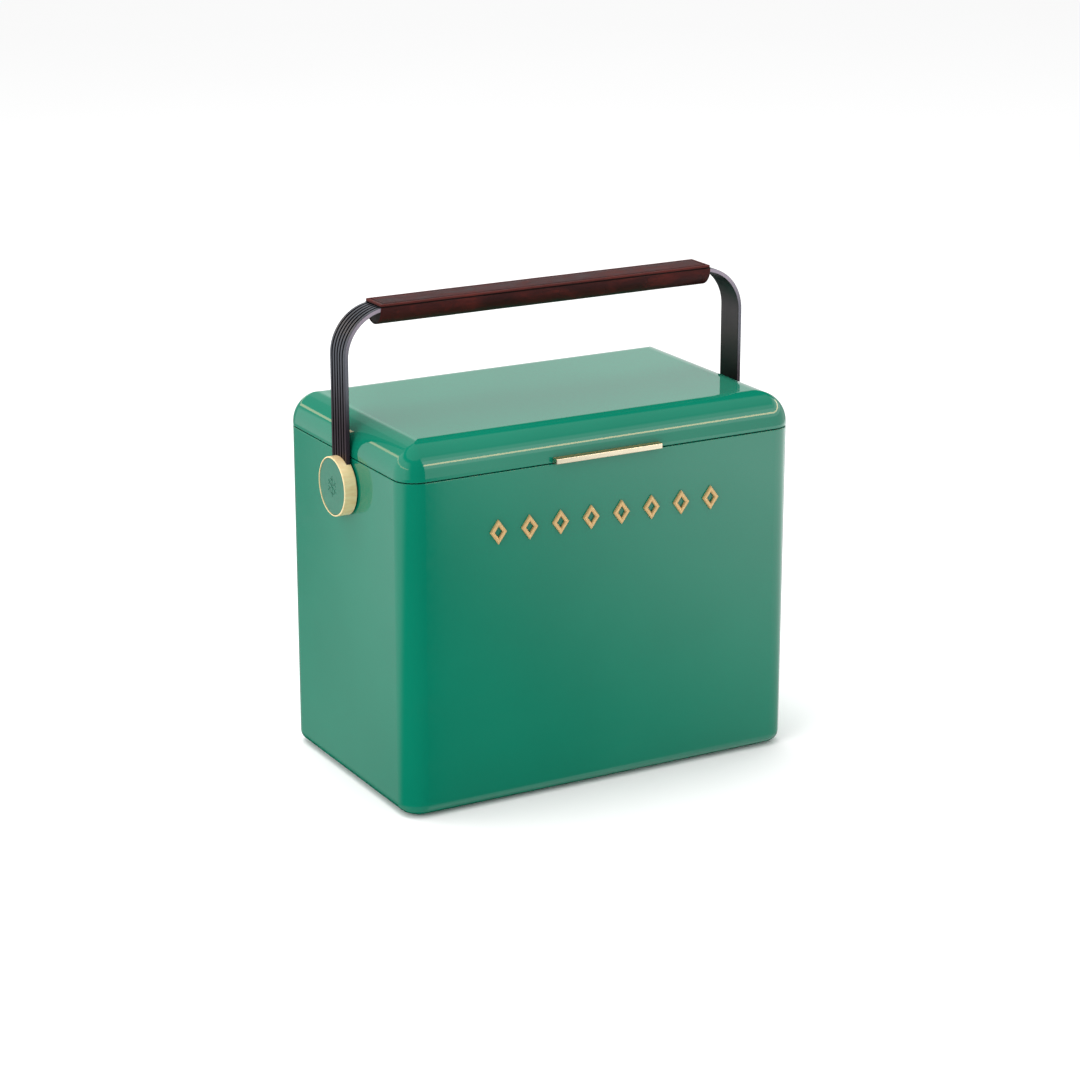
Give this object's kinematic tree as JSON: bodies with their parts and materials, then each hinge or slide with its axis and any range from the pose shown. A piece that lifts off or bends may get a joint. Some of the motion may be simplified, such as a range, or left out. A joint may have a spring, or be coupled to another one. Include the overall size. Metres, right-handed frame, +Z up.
{
  "type": "cooler box",
  "caption": "Hard-sided portable cooler box with an insulated hinged lid, a swinging strap carry handle and a leather grip.",
  "frame": {"origin": "on the floor, in the middle of the footprint, under the feet", "axes": "+Z up, +X to the box's right as seen from the front, front of the box towards -Y"},
  "size_m": [0.374, 0.224, 0.3893],
  "materials": {
    "body_green": "high-gloss moulded plastic",
    "insert_green": "satin-gloss painted disc",
    "liner_plastic": "food-safe matt moulded plastic",
    "rim_plastic": "dark matt moulded plastic",
    "foam": "rigid polyurethane foam",
    "silicone": "soft silicone seal",
    "rubber_black": "matt rubber",
    "brass": "satin brushed, lacquered",
    "steel": "brushed stainless steel",
    "graphite": "dark anodised, satin",
    "leather": "dark brown waxed leather",
    "nylon": "black acetal",
    "core_plastic": "stiff moulded core"
  },
  "bodies": {
    "body": {"body_shell": "body_green", "foam_floor": "foam", "foam_front": "foam", "foam_rear": "foam", "foam_left": "foam", "foam_right": "foam", "body_liner": "liner_plastic", "rim_collar": "rim_plastic", "strike_discs": "steel", "front_marks": "brass", "rubber_feet": "rubber_black", "foot_screws": "steel", "hinge_body_leaf_left": "brass", "hinge_body_leaf_right": "brass", "hinge_pin_left": "steel", "hinge_pin_right": "steel", "hinge_body_screws": "brass", "hinge_backing_plates": "steel", "pivot_bolt_left": "steel", "pivot_bolt_right": "steel", "pivot_plate_left": "steel", "pivot_plate_right": "steel", "pivot_nuts": "steel", "thrust_washers": "nylon", "friction_washers": "steel"},
    "lid": {"lid_shell": "body_green", "lid_liner": "liner_plastic", "lid_foam": "foam", "plug_foam": "foam", "lid_gasket": "silicone", "lid_magnets": "steel", "pull_bar": "brass", "pull_bar_screws": "steel", "hinge_lid_leaf_left": "brass", "hinge_lid_leaf_right": "brass", "hinge_lid_screws": "brass"},
    "handle": {"handle_bar": "graphite", "grip_core": "core_plastic", "grip_wrap": "leather", "grip_strip": "leather", "grip_screws": "steel", "hub_cap_left": "brass", "hub_cap_right": "brass", "hub_insert_left": "insert_green", "hub_insert_right": "insert_green"}
  },
  "joints": [
    {"name": "lid_hinge", "type": "hinge", "parent": "body", "child": "lid", "pos_m": [0, 0.1091, 0.271], "axis": [-1, 0, 0], "range_deg": [0, 28]},
    {"name": "handle_swing", "type": "hinge", "parent": "body", "child": "handle", "pos_m": [0, -0.0045, 0.2467], "axis": [1, 0, 0], "range_deg": [-112, 120]}
  ]
}
